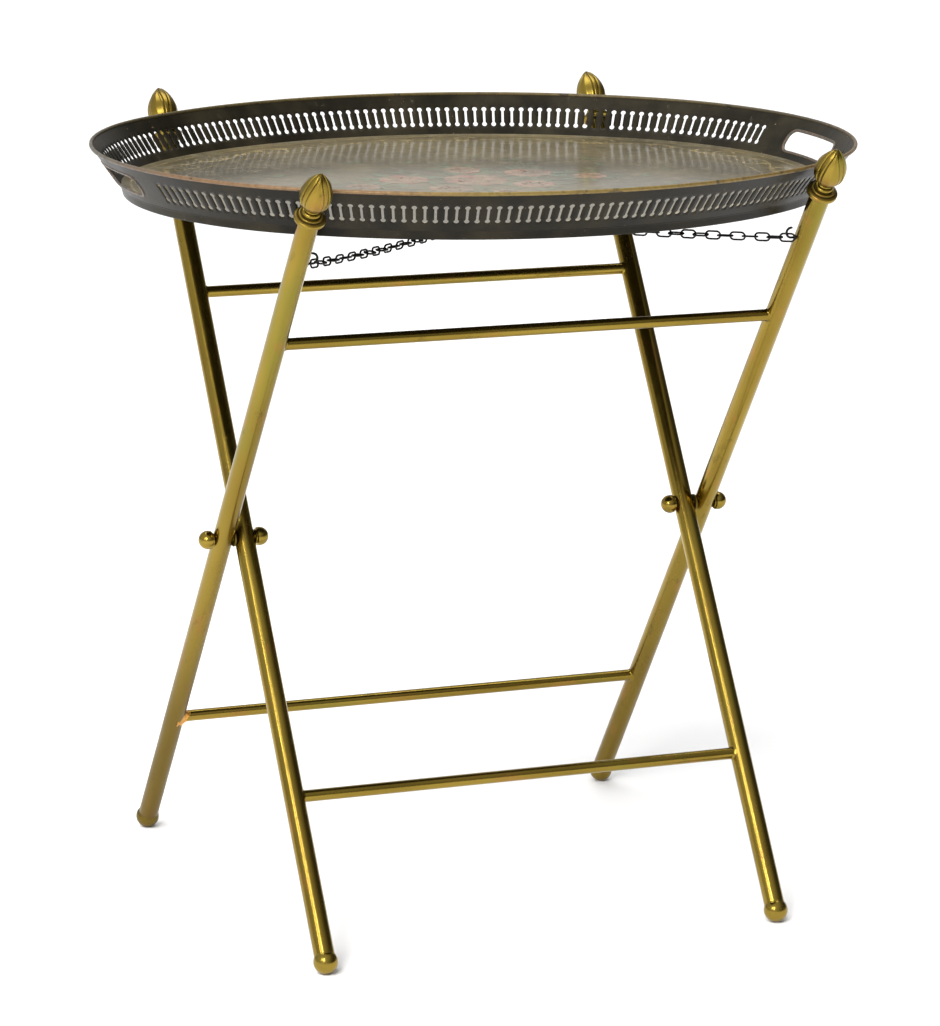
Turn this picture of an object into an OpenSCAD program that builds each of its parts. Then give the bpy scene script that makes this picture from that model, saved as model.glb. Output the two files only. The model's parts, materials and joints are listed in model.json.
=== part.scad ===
// Folding X-frame stand of brass tube with a lift-out oval gallery tray.
// +Z is up and X runs along the tray. The origin is on the floor, below the crossing of the frames.

/* [Stand] */
// Lean of every leg from the vertical when the stand is open, in degrees
leg_lean = 34.5; // [34:0.1:35]
// Outside diameter of the leg tubes
tube_d = 19; // [18:0.5:20]
// Wall thickness of the leg tubes
tube_wall = 1.2; // [1:0.1:1.5]
// Distance from the pivot to the centre of a ball foot, along the leg
foot_reach = 409.5; // [405:0.5:415]
// Distance from the pivot to the top end of a leg tube
top_reach = 409; // [405:0.5:412]
// Half the distance between the axes of the two legs of the outer frame
outer_half = 244; // [240:0.5:248]
// Diameter of the ball feet
ball_d = 22.5; // [21:0.5:24]

/* [Rails] */
// Outside diameter of the rails
rail_d = 11; // [10:0.5:12]
// Wall thickness of the rails
rail_wall = 1; // [0.8:0.1:1.4]
// Height of the outer frame's upper rail above the pivot, along the leg
outer_upper_at = 256; // [245:1:265]
// Distance of the outer frame's lower rail below the pivot, along the leg
outer_lower_at = 257; // [245:1:265]
// Height of the inner frame's upper rail above the pivot, along the leg
inner_upper_at = 248.5; // [240:0.5:260]
// Distance of the inner frame's lower rail below the pivot, along the leg
inner_lower_at = 254; // [245:1:265]

/* [Pivot] */
// Gap between the two legs at a crossing, filled by the washer
leg_gap = 2; // [1.5:0.1:2.5]
// Diameter of the pivot bolts
bolt_d = 6; // [5:0.5:7]
// Radial clearance of a bolt in the inner frame's legs
bolt_clearance = 0.05; // [0.03:0.01:0.08]
// Diameter of the ball-shaped cap nuts
cap_nut_d = 17.5; // [16:0.5:18]

/* [Leg tops] */
// Largest diameter of the collars
collar_d = 29; // [27:0.5:30]
// Height of a collar
collar_h = 12.5; // [11:0.5:14]
// Largest diameter of the finials
finial_d = 32; // [28:0.5:32]
// Length of a finial above its neck
finial_h = 40; // [36:1:42]
// Length of the neck between collar and finial
neck_h = 3; // [2:0.5:4]

/* [Tray] */
// Half the length of the tray, to the outer face of its wall at the rim
tray_half_l = 360; // [356:1:360]
// Half the width of the tray, to the outer face of its wall at the rim
tray_half_w = 295; // [290:1:295]
// Distance that the tray sits forward of the stand's middle, towards the outer frame's tops
tray_forward = 5.5; // [5.5:0.1:6]
// Height of the rim bead's middle above the floor
rim_z = 711; // [710:0.5:714]
// Height of the tray's floor below the rim bead's middle
tray_depth = 37; // [35:0.5:38]
// Height of the base band below the tray's floor
band_h = 8; // [6:0.5:8]
// How far the wall leans in from rim to floor
wall_flare = 27; // [25:0.5:29]
// Thickness of the tray's sheet metal
sheet = 0.9; // [0.8:0.1:1.2]
// Diameter of the rim bead
bead_d = 4.2; // [3.5:0.1:4.5]

/* [Piercing] */
// Number of slots along each side of the tray, from hand hole to hand hole
slots_per_side = 90; // [80:2:92]
// Diameter of the round ends of a slot
slot_end_d = 5.2; // [4.6:0.1:5.6]
// Width of a slot's waist
slot_waist = 3; // [2.4:0.1:3.4]
// Height of a slot from end to end
slot_h = 18.5; // [16:0.5:19]
// Height of the slots' middle above the tray's floor
slot_mid = 16.2; // [15:0.1:17]
// Distance from the middle of a hand hole to the first slot, along the wall
slot_start = 86; // [82:1:90]
// Length of the clear hand hole
hand_hole_l = 92; // [92:4:112]
// Height of the clear hand hole
hand_hole_h = 17; // [16.5:0.5:17]
// Width of the rolled edge round a hand hole
hole_rim_w = 3; // [2:0.5:4]

/* [Chains] */
// Distance of a chain hook below the top end of its leg tube
hook_below_top = 53; // [48:1:58]
// Diameter of the wire of a chain hook
hook_wire = 2.2; // [2:0.1:2.4]
// Inside radius of a chain hook's bend
hook_bend_r = 3.4; // [3:0.1:4]
// Diameter of the wire of a chain link
link_wire = 1.8; // [1.5:0.1:2]
// Outside width of a chain link
link_w = 8.8; // [8.6:0.1:9]
// Number of links in each chain
links = 51; // [49:2:53]
// Dip in the middle of the chain that starts at the front left
sag_front_left = 12; // [6:1:22]
// Dip in the middle of the chain that starts at the front right
sag_front_right = 8; // [7:1:9]

/* [Hidden] */
$fn = 64;
fine = 96;
touch = 0.02;
inner_half = outer_half - tube_d - leg_gap;
pivot_z = ball_d / 2 + foot_reach * cos(leg_lean);
tube_r = tube_d / 2;
bore_r = tube_r - tube_wall;
solder_gap = 0.05;
running_gap = 0.3;

// Ball foot: the tube ends where it meets the ball
foot_shoulder = sqrt(pow(ball_d / 2, 2) - pow(tube_r, 2)) + touch;
foot_plug = 14;

// Cap nut: its ball sits against the leg
cap_seat = 0.6;
cap_out = tube_r + cap_seat + 4.4;
bolt_tip = 3.5;
bush_d = 9;

// Top plug, stud and finial
plug_h = 12;
stud_d = 6;
stud_in_finial = 16;
stud_in_plug = 11;
neck_d = 13;

// Tray: an oval of four arcs, so that every level of the wall has the same four centres.
// The centres lie on a rhombus with sides 5, half diagonals 3 and 4 units long.
oval_unit = (tray_half_l - tray_half_w) / 2;
end_x = 3 * oval_unit;
side_y = 4 * oval_unit;
end_arc_r = tray_half_l - end_x;
side_arc_r = end_arc_r + 5 * oval_unit;
end_angle = atan2(4, 3);
floor_z = rim_z - tray_depth;
band_inset = wall_flare + 2.5;
wall_lean = atan2(wall_flare, tray_depth);
slot_inset = wall_flare * (tray_depth - slot_mid) / tray_depth;
// The floor stands a little above the narrow seam that the wall's foot sits in
seam_w = 1.2;
floor_rise = 0.3;
end_run = (end_arc_r - slot_inset) * end_angle * PI / 180;
side_run = (side_arc_r - slot_inset) * (90 - end_angle) * PI / 180;
slot_pitch = 2 * (end_run + side_run - slot_start) / (slots_per_side - 1);
cut = 12;

// Chain ends: the first and last links lie a little behind the middle of their hook's wire
hook_at = top_reach - hook_below_top;
hook_reach = 9;
hook_root = 8;
link_behind = 2.45;
link_slack = 0.5;

// ---- placing -------------------------------------------------------------

// Carries a leg's own frame (Z up the leg, origin at the pivot) to the outer or the inner frame.
// The outer frame's tops lean to the front, the inner frame's to the back.
module on_frame(outer) {
    translate([0, 0, pivot_z])
        rotate([outer ? leg_lean : -leg_lean, 0, 0])
            children();
}

// A leg of a frame: side is -1 on the left and 1 on the right.
module on_leg(outer, side) {
    on_frame(outer)
        translate([side * (outer ? outer_half : inner_half), 0, 0])
            children();
}

module along_x(length, d) {
    rotate([0, 90, 0])
        cylinder(h = length, d = d, center = true);
}

// ---- stand ---------------------------------------------------------------

module leg(outer, side) {
    inward = -side;
    low = -foot_reach + foot_shoulder;
    upper = outer ? outer_upper_at : inner_upper_at;
    lower = outer ? outer_lower_at : inner_lower_at;
    pin_hole_d = outer ? bolt_d : bolt_d + 2 * bolt_clearance;
    color("goldenrod")
        on_leg(outer, side)
            difference() {
                translate([0, 0, low])
                    cylinder(h = top_reach - low, d = tube_d);
                translate([0, 0, low - 1])
                    cylinder(h = top_reach - low + 2, r = bore_r);
                along_x(tube_d + 2, pin_hole_d);
                for (at = [upper, -lower])
                    translate([inward * tube_r, 0, at])
                        along_x(tube_d, rail_d + 2 * solder_gap);
                translate([inward * tube_r, 0, hook_at])
                    along_x(tube_d / 2, hook_wire + 2 * solder_gap);
            }
}

// A rail is a tube whose ends stand inside the two legs of its frame.
module rail(outer, at) {
    half = outer ? outer_half : inner_half;
    length = 2 * (half - bore_r + 3);
    color("goldenrod")
        on_frame(outer)
            translate([0, 0, at])
                difference() {
                    along_x(length, rail_d);
                    along_x(length + 2, rail_d - 2 * rail_wall);
                }
}

module foot(outer, side) {
    color("darkgoldenrod")
        on_leg(outer, side)
            translate([0, 0, -foot_reach]) {
                difference() {
                    sphere(d = ball_d, $fn = fine);
                    translate([-ball_d, -ball_d, foot_shoulder - touch])
                        cube([2 * ball_d, 2 * ball_d, ball_d]);
                }
                cylinder(h = foot_shoulder + foot_plug, r = bore_r - solder_gap);
            }
}

module top_plug(outer, side) {
    on_leg(outer, side)
        translate([0, 0, top_reach - plug_h])
            difference() {
                cylinder(h = plug_h, r = bore_r - solder_gap);
                translate([0, 0, -1])
                    cylinder(h = plug_h + 2, d = stud_d + 2 * solder_gap);
            }
}

module top_plugs(outer) {
    color("darkgoldenrod")
        for (side = [-1, 1])
            top_plug(outer, side);
}

module finial_studs(outer) {
    length = stud_in_plug + collar_h + neck_h + stud_in_finial;
    color("silver")
        for (side = [-1, 1])
            on_leg(outer, side)
                translate([0, 0, top_reach - stud_in_plug])
                    cylinder(h = length, d = stud_d);
}

// The collar is a ring with a small step below, a large rounded step above and a plain top.
module collar(outer, side) {
    step_h = collar_h * 0.3;
    round_r = (collar_h - step_h) / 2;
    color("goldenrod")
        on_leg(outer, side)
            translate([0, 0, top_reach])
                difference() {
                    union() {
                        cylinder(h = step_h, d = collar_d * 0.83);
                        translate([0, 0, step_h + round_r])
                            rotate_extrude($fn = fine)
                                union() {
                                    translate([collar_d / 2 - round_r, 0])
                                        circle(r = round_r);
                                    translate([0, -round_r])
                                        square([collar_d / 2 - round_r, 2 * round_r]);
                                }
                    }
                    translate([0, 0, -1])
                        cylinder(h = collar_h + 2, d = stud_d + 2 * solder_gap);
                }
}

// Radius of the finial at a share t of its height: a full bud that closes to a point.
function bud_r(t) = finial_d / 2 * pow(sin(180 * pow(t, 0.62)), 0.72) * (1 - 0.12 * t);

module finial(outer, side) {
    foot_share = 0.06;
    steps = 24;
    bud = [for (i = [0:steps]) let (t = foot_share + (1 - foot_share) * i / steps)
        [i == steps ? 0 : bud_r(t), neck_h + finial_h * (t - foot_share) / (1 - foot_share)]];
    color("goldenrod")
        on_leg(outer, side)
            translate([0, 0, top_reach + collar_h])
                difference() {
                    rotate_extrude($fn = fine)
                        polygon(concat([[0, 0], [neck_d / 2, 0], [neck_d / 2, neck_h]], bud));
                    translate([0, 0, -1])
                        cylinder(h = stud_in_finial + neck_h + 1.5, d = stud_d + 2 * solder_gap);
                }
}

// ---- pivot ---------------------------------------------------------------

module pivot_bolt(side) {
    first = inner_half - cap_out - bolt_tip;
    last = outer_half + cap_out + bolt_tip;
    color("darkgoldenrod")
        translate([side * (first + last) / 2, 0, pivot_z])
            along_x(last - first, bolt_d);
}

module pivot_washer(side) {
    thick = leg_gap - running_gap - touch;
    color("dimgray")
        translate([side * (outer_half - tube_r - touch - thick / 2), 0, pivot_z])
            difference() {
                along_x(thick, 16);
                along_x(thick + 2, bolt_d + 2 * solder_gap);
            }
}

// A ball with a flat seat towards the leg and a blind hole for the bolt's end.
module cap_nut(side, outside) {
    leg_x = outside ? outer_half : inner_half;
    away = outside ? side : -side;
    seat = outside ? touch : running_gap;
    color("goldenrod")
        translate([side * leg_x + away * cap_out, 0, pivot_z])
            rotate([0, away * 90, 0])
                difference() {
                    sphere(d = cap_nut_d, $fn = fine);
                    translate([-cap_nut_d, -cap_nut_d, -2 * cap_nut_d - (cap_out - tube_r - seat)])
                        cube(2 * cap_nut_d);
                    translate([0, 0, -cap_nut_d])
                        cylinder(h = cap_nut_d + bolt_tip + 0.5, d = bolt_d + 2 * solder_gap);
                }
}

// Short sleeves inside the inner frame's legs keep the bolts from crushing the tube.
module pivot_bushes() {
    color("darkgoldenrod")
        for (side = [-1, 1])
            on_leg(false, side)
                difference() {
                    along_x(2 * sqrt(pow(bore_r, 2) - pow(bush_d / 2, 2)) - 2 * touch, bush_d);
                    along_x(tube_d, bolt_d + 2 * bolt_clearance);
                }
}

// ---- chains --------------------------------------------------------------

// An open J hook: a shank screwed into the leg and a bend that opens upwards.
module chain_hook(outer, side) {
    tilt = outer ? leg_lean : -leg_lean;
    bend = hook_bend_r + hook_wire / 2;
    color("dimgray")
        on_leg(outer, side)
            translate([-side * tube_r, 0, hook_at])
                rotate([-tilt, 0, 0])
                    mirror([side > 0 ? 1 : 0, 0, 0]) {
                        translate([(hook_reach - hook_root) / 2 - bend / 2, 0, 0])
                            along_x(hook_reach + hook_root - bend, hook_wire);
                        translate([hook_reach - bend, 0, bend])
                            rotate([90, 0, 0])
                                rotate([0, 0, -90])
                                    rotate_extrude(angle = 200, $fn = fine)
                                        translate([bend, 0])
                                            circle(d = hook_wire, $fn = 32);
                    }
}

// The lowest point of a hook's bend, in the middle of its wire, where the last link hangs.
function hook_point(outer, side) = let (
    tilt = outer ? leg_lean : -leg_lean,
    half = outer ? outer_half : inner_half)
    [side * (half - tube_r - hook_reach + hook_bend_r + hook_wire / 2),
     -hook_at * sin(tilt),
     pivot_z + hook_at * cos(tilt)];

function on_chain(from, to, sag, t) = from + (to - from) * t - [0, 0, 4 * sag * t * (1 - t)];

// One link: two straight sides and two round ends, long side along X.
module link(length) {
    bend = (link_w - link_wire) / 2;
    straight = length - link_w;
    for (end = [-1, 1])
        rotate([0, 0, end > 0 ? -90 : 90])
            translate([0, straight / 2, 0])
                rotate_extrude(angle = 180, $fn = fine)
                    translate([bend, 0])
                        circle(d = link_wire, $fn = 32);
    for (edge = [-1, 1])
        translate([0, edge * bend, 0])
            along_x(straight, link_wire);
}

// A chain from a hook of the outer frame, on the given side, to the opposite hook of the inner frame.
module chain(side, sag) {
    start = hook_point(true, side);
    finish = hook_point(false, -side);
    along = (finish - start) / norm(finish - start);
    from = start - link_behind * along;
    to = finish + link_behind * along;
    pitch = norm(to - from) / links;
    length = pitch + link_slack + 2 * link_wire;
    color("dimgray")
        for (i = [0:links - 1]) {
            a = on_chain(from, to, sag, i / links);
            b = on_chain(from, to, sag, (i + 1) / links);
            run = b - a;
            translate((a + b) / 2)
                rotate([0, -atan2(run.z, norm([run.x, run.y])), atan2(run.y, run.x)])
                    rotate([i % 2 == 0 ? 90 : 0, 0, 0])
                        link(length);
        }
}

// ---- tray ----------------------------------------------------------------

module tray_place() {
    translate([0, -tray_forward, 0])
        children();
}

// Turns a profile about the origin and keeps the sector between two directions, round the middle one.
module arc_piece(radius, first, middle, last) {
    far = 2 * tray_half_l;
    intersection() {
        rotate_extrude($fn = 180)
            translate([radius, 0])
                children();
        linear_extrude(height = 2 * rim_z)
            polygon([[0, 0], far * first, 2 * far * middle, far * last]);
    }
}

// Sweeps a profile of (distance in from the rim, height) round the oval, as four arcs.
module round_oval() {
    for (end = [0, 1])
        mirror([end, 0, 0])
            translate([end_x, 0, 0])
                arc_piece(end_arc_r, [0.6, -0.8], [1, 0], [0.6, 0.8])
                    children();
    for (long_side = [0, 1])
        mirror([0, long_side, 0])
            translate([0, -side_y, 0])
                arc_piece(side_arc_r, [0.6, 0.8], [0, 1], [-0.6, 0.8])
                    children();
}

// A flat oval plate whose edge lies inset from the rim.
module oval_plate(inset, thick) {
    reach = end_x + (end_arc_r - inset) * cos(end_angle);
    for (side = [-1, 1])
        translate([side * end_x, 0, 0])
            cylinder(h = thick, r = end_arc_r - inset, $fn = 180);
    intersection() {
        translate([0, -side_y, 0])
            cylinder(h = thick, r = side_arc_r - inset, $fn = 180);
        translate([0, side_y, 0])
            cylinder(h = thick, r = side_arc_r - inset, $fn = 180);
        translate([-reach, -tray_half_w, 0])
            cube([2 * reach, 2 * tray_half_w, thick]);
    }
}

// The wall's section, between the distances from and to from the outer face of the sheet.
module wall_section(from, to) {
    polygon([
        [-wall_flare - from, floor_z],
        [-from, rim_z],
        [-to, rim_z],
        [-wall_flare - to, floor_z]
    ]);
}

// Flat floor with a turned-down band that the tray stands on.
module tray_floor() {
    color("darkolivegreen")
        tray_place() {
            translate([0, 0, floor_z - sheet])
                oval_plate(wall_flare + touch, sheet);
            translate([0, 0, floor_z - touch])
                oval_plate(wall_flare + sheet + seam_w, floor_rise + touch);
            round_oval()
                polygon([
                    [-wall_flare - touch, floor_z - sheet / 2],
                    [-band_inset, floor_z - band_h],
                    [-band_inset - sheet, floor_z - band_h],
                    [-wall_flare - sheet - touch, floor_z - sheet / 2]
                ]);
        }
}

// Cuts one bone-shaped slot, square to the wall, at the origin of a level frame with X outwards.
module slot_cutter() {
    reach = (slot_h - slot_end_d) / 2 / cos(wall_lean);
    rotate([0, wall_lean, 0]) {
        for (end = [-1, 1])
            translate([0, 0, end * reach])
                along_x(cut, slot_end_d);
        cube([cut, slot_waist, 2 * reach], center = true);
    }
}

// Carries children to a point of the wall: s is the distance from the tray's end along the slots'
// middle line, h the height above the floor.
module on_wall(s, h) {
    inset = wall_flare * (tray_depth - h) / tray_depth + sheet / 2;
    if (s <= end_run)
        translate([end_x, 0, floor_z + h])
            rotate([0, 0, s / end_run * end_angle])
                translate([end_arc_r - inset, 0, 0])
                    children();
    else
        translate([0, -side_y, floor_z + h])
            rotate([0, 0, end_angle + (s - end_run) / side_run * (90 - end_angle)])
                translate([side_arc_r - inset, 0, 0])
                    children();
}

// A rounded rectangle through the wall at the tray's end, grown by extra all round.
module hand_hole_cutter(extra) {
    half_l = hand_hole_l / 2 + extra;
    half_h = (hand_hole_h / 2) / cos(wall_lean) + extra;
    corner = half_h * 0.8;
    on_wall(0, slot_mid)
        rotate([0, wall_lean, 0]) {
            for (y = [-1, 1], z = [-1, 1])
                translate([0, y * (half_l - corner), z * (half_h - corner)])
                    along_x(3 * cut, 2 * corner);
            cube([3 * cut, 2 * half_l, 2 * (half_h - corner)], center = true);
            cube([3 * cut, 2 * (half_l - corner), 2 * half_h], center = true);
        }
}

module bead_section(grow) {
    translate([-sheet / 2, rim_z])
        circle(d = bead_d + 2 * grow, $fn = 48);
}

// The flared wall, pierced all round and cut for the two hands.
module tray_gallery() {
    color("darkslategray")
        tray_place()
            difference() {
                round_oval()
                    difference() {
                        wall_section(0, sheet);
                        bead_section(touch);
                    }
                for (end = [0, 1])
                    mirror([end, 0, 0]) {
                        hand_hole_cutter(hole_rim_w);
                        for (side = [0, 1], i = [0:slots_per_side / 2 - 1])
                            mirror([0, side, 0])
                                on_wall(slot_start + i * slot_pitch, slot_mid)
                                    slot_cutter();
                    }
            }
}

module rim_bead() {
    color("goldenrod")
        tray_place()
            round_oval()
                bead_section(0);
}

// Rolled edge round a hand hole, standing proud of both faces of the wall: end is -1 on the left.
module hand_hole_rim(end) {
    proud = 0.8;
    color("peru")
        tray_place()
            mirror([end > 0 ? 0 : 1, 0, 0])
                difference() {
                    intersection() {
                        translate([end_x, 0, 0])
                            arc_piece(end_arc_r, [0.6, -0.8], [1, 0], [0.6, 0.8])
                                wall_section(-proud, sheet + proud);
                        hand_hole_cutter(hole_rim_w - touch);
                    }
                    hand_hole_cutter(0);
                }
}

leg(true, -1);  // leg_outer_left
leg(true, 1);  // leg_outer_right
leg(false, -1);  // leg_inner_left
leg(false, 1);  // leg_inner_right
rail(true, outer_upper_at);  // rail_outer_upper
rail(true, -outer_lower_at);  // rail_outer_lower
rail(false, inner_upper_at);  // rail_inner_upper
rail(false, -inner_lower_at);  // rail_inner_lower
foot(true, -1);  // foot_outer_left
foot(true, 1);  // foot_outer_right
foot(false, -1);  // foot_inner_left
foot(false, 1);  // foot_inner_right
top_plugs(true);  // top_plugs_outer
top_plugs(false);  // top_plugs_inner
finial_studs(true);  // finial_studs_outer
finial_studs(false);  // finial_studs_inner
collar(true, -1);  // collar_outer_left
collar(true, 1);  // collar_outer_right
collar(false, -1);  // collar_inner_left
collar(false, 1);  // collar_inner_right
finial(true, -1);  // finial_outer_left
finial(true, 1);  // finial_outer_right
finial(false, -1);  // finial_inner_left
finial(false, 1);  // finial_inner_right
pivot_bolt(-1);  // pivot_bolt_left
pivot_bolt(1);  // pivot_bolt_right
pivot_washer(-1);  // pivot_washer_left
pivot_washer(1);  // pivot_washer_right
cap_nut(-1, true);  // cap_nut_left_outside
cap_nut(-1, false);  // cap_nut_left_inside
cap_nut(1, true);  // cap_nut_right_outside
cap_nut(1, false);  // cap_nut_right_inside
pivot_bushes();
chain_hook(true, -1);  // hook_outer_left
chain_hook(true, 1);  // hook_outer_right
chain_hook(false, -1);  // hook_inner_left
chain_hook(false, 1);  // hook_inner_right
chain(-1, sag_front_left);  // chain_front_left
chain(1, sag_front_right);  // chain_front_right
tray_floor();
tray_gallery();
rim_bead();
hand_hole_rim(-1);  // hand_hole_rim_left
hand_hole_rim(1);  // hand_hole_rim_right
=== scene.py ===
"""Folding brass tray table: its looks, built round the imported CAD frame."""

import json
import math

import bpy
import numpy as np
from mathutils import Matrix, Vector, noise


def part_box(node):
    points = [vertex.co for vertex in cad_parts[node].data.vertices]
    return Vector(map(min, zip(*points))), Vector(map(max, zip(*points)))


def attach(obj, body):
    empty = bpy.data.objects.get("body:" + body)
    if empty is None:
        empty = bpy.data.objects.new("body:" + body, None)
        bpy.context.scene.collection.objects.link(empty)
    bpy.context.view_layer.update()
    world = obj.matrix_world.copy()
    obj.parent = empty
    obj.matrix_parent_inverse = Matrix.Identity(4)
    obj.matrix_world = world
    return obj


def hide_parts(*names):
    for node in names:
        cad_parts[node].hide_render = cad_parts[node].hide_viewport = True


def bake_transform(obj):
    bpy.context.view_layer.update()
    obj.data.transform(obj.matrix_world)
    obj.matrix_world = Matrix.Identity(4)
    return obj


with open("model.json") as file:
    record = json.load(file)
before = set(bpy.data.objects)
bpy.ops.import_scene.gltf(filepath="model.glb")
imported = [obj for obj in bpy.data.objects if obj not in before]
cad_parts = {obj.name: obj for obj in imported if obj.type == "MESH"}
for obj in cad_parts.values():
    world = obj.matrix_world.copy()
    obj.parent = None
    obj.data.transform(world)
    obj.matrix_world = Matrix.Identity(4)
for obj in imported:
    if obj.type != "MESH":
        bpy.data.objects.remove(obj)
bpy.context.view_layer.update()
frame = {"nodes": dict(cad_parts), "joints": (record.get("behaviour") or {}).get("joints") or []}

MM = 0.001
TAU = 2 * math.pi


# ---------------------------------------------------------------- measures from the frame
def joint(name):
    return next(j for j in frame["joints"] if j["name"] == name)


def box_size(node):
    lo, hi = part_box(node)
    return hi - lo


def box_mid(node):
    lo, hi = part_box(node)
    return (lo + hi) / 2


PIVOT_Z = joint("fold")["pos_m"][2]
slide = joint("tray_lift")["axis"]
LEAN = math.atan2(-slide[1], slide[2])
LEFT, RIGHT = -1, 1
SIDE_NAMES = {LEFT: "left", RIGHT: "right"}
FRAMES = {"outer": True, "inner": False}

HALF = {name: abs(box_mid(f"leg_{name}_left").x) for name in FRAMES}
TUBE_R = box_size("leg_outer_left").x / 2
leg_lo, leg_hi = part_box("leg_outer_left")
EDGE = TUBE_R * math.sin(LEAN)
TUBE_TOP = (leg_hi.z - PIVOT_Z - EDGE) / math.cos(LEAN)
TUBE_LOW = (leg_lo.z - PIVOT_Z + EDGE) / math.cos(LEAN)
BALL_R = box_size("foot_outer_left").x / 2
FOOT_REACH = (PIVOT_Z - BALL_R) / math.cos(LEAN)
COLLAR_R = box_size("collar_outer_left").x / 2
BUD_SHARE = 0.94
FINIAL_R = BUD_SHARE * box_size("finial_outer_left").x / 2
FINIAL_TIP = (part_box("finial_outer_left")[1].z - PIVOT_Z) / math.cos(LEAN)
COLLAR_H = 12.5 * MM
NECK_H = 3.0 * MM

rim_mid, rim_size = box_mid("rim_bead"), box_size("rim_bead")
BEAD_R = rim_size.z / 2
TRAY_Y = rim_mid.y
RIM_Z = rim_mid.z
SHEET = 0.9 * MM
HALF_L = rim_size.x / 2 - BEAD_R + SHEET / 2
HALF_W = rim_size.y / 2 - BEAD_R + SHEET / 2
UNIT = (HALF_L - HALF_W) / 2
END_X, SIDE_Y = 3 * UNIT, 4 * UNIT
END_R = HALF_L - END_X
SIDE_R = END_R + 5 * UNIT
END_ANGLE = math.atan2(4, 3)
FLOOR_RISE = 0.3 * MM
FLOOR_SAG = 0.35 * MM
FLOOR_WAVE = 0.12 * MM
FLOOR_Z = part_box("tray_floor")[1].z - FLOOR_RISE
BASE_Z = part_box("tray_floor")[0].z
DEPTH = RIM_Z - FLOOR_Z
FLARE = HALF_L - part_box("tray_floor")[1].x
BAND_INSET = FLARE + 2.5 * MM
WALL_LEAN = math.atan2(FLARE, DEPTH)
WALL_RUN = math.hypot(FLARE, DEPTH)

SLOTS_PER_SIDE = 90
SLOT_START = 86 * MM
SLOT_R = 2.4 * MM
SLOT_WAIST = 1.15 * MM
SLOT_MID = 16.2 * MM / math.cos(WALL_LEAN)
SLOT_REACH = 6.65 * MM / math.cos(WALL_LEAN)
MID_INSET = FLARE * (WALL_RUN - SLOT_MID) / WALL_RUN
END_RUN = (END_R - MID_INSET) * END_ANGLE
SIDE_RUN = (SIDE_R - MID_INSET) * (math.pi / 2 - END_ANGLE)
ROUND = 4 * (END_RUN + SIDE_RUN)
HOLE_HALF_L = 46 * MM
HOLE_HALF_H = 8.5 * MM / math.cos(WALL_LEAN)
HOLE_RIM = 3 * MM


# ---------------------------------------------------------------- mesh helpers
def piece(
    name, part, material, body, node=None, matrix=None, seed=0.0, grain=None, sharp=38, grime_and_shade=None
):
    """Makes a mesh in the row frame that rides with a body and hides a CAD node, where one is named.

    Its grain attribute keeps the piece's own coordinates for the finish, and a second attribute marks where
    its colour is darkened: painted shade, with some grime in its hollows."""
    verts, faces = part
    co = np.asarray(verts, float)
    own = co if grain is None else np.asarray(grain, float)
    if matrix is not None:
        co = moved((co, faces), matrix)[0]
    mesh = bpy.data.meshes.new(name)
    mesh.from_pydata(co.tolist(), [], [tuple(int(i) for i in f) for f in faces])
    mesh.validate()
    mesh.polygons.foreach_set("use_smooth", [True] * len(mesh.polygons))
    mesh.set_sharp_from_angle(angle=math.radians(sharp))
    attribute = mesh.attributes.new("grain", "FLOAT_VECTOR", "POINT")
    shifted = own + np.array([0.37, 0.71, 0.53]) * seed
    attribute.data.foreach_set("vector", shifted.astype(np.float32).ravel())
    if grime_and_shade is not None:
        grime_and_shade_layer = mesh.attributes.new("grime_and_shade", "FLOAT", "POINT")
        grime_and_shade_layer.data.foreach_set("value", np.asarray(grime_and_shade, np.float32))
    mesh.materials.append(material)
    obj = bpy.data.objects.new(name, mesh)
    bpy.context.scene.collection.objects.link(obj)
    if body:
        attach(obj, body)
    if node:
        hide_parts(node)
    return obj


def joined(parts):
    """Joins (verts, faces) pairs into one pair."""
    verts, faces, base = [], [], 0
    for v, f in parts:
        verts.append(np.asarray(v, float))
        faces += [tuple(i + base for i in face) for face in f]
        base += len(v)
    return np.vstack(verts), faces


def moved(part, matrix):
    m = np.array(matrix, float)
    return np.asarray(part[0], float) @ m[:3, :3].T + m[:3, 3], part[1]


def flipped(part):
    return part[0], [tuple(reversed(f)) for f in part[1]]


def softened(points, radius, steps=5):
    """Rounds the inner corners of a profile."""
    pts = [np.array(p, float) for p in points]
    out = [pts[0]]
    for before, corner, after in zip(pts, pts[1:], pts[2:]):
        a, b = before - corner, after - corner
        la, lb = np.linalg.norm(a), np.linalg.norm(b)
        r = min(radius, la * 0.45, lb * 0.45)
        p, q = corner + a / la * r, corner + b / lb * r
        for i in range(steps + 1):
            t = i / steps
            out.append((1 - t) ** 2 * p + 2 * t * (1 - t) * corner + t * t * q)
    out.append(pts[-1])
    return out


def ring_faces(count_a, count_b, a, b):
    """Faces between two rings that start at vertices a and b, of which one may be a single point."""
    faces = []
    n = max(count_a, count_b)
    for i in range(n):
        j = (i + 1) % n
        if count_a == 1:
            faces.append((a, b + j, b + i))
        elif count_b == 1:
            faces.append((a + i, a + j, b))
        else:
            faces.append((a + i, a + j, b + j, b + i))
    return faces


def lathe(profile, segments=72, wobble=None):
    """Turns (radius, height) points about Z, from the bottom up on the outside."""
    verts, faces, starts = [], [], []
    angles = np.arange(segments) * TAU / segments
    for r, z in profile:
        starts.append((len(verts), 1 if r < 1e-7 else segments))
        if r < 1e-7:
            verts.append((0, 0, z))
        else:
            for a in angles:
                rr = r + (wobble(a, z) if wobble else 0)
                verts.append((rr * math.cos(a), rr * math.sin(a), z))
    for (a, na), (b, nb) in zip(starts, starts[1:]):
        faces += ring_faces(na, nb, a, b)
    return np.array(verts), faces


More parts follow.
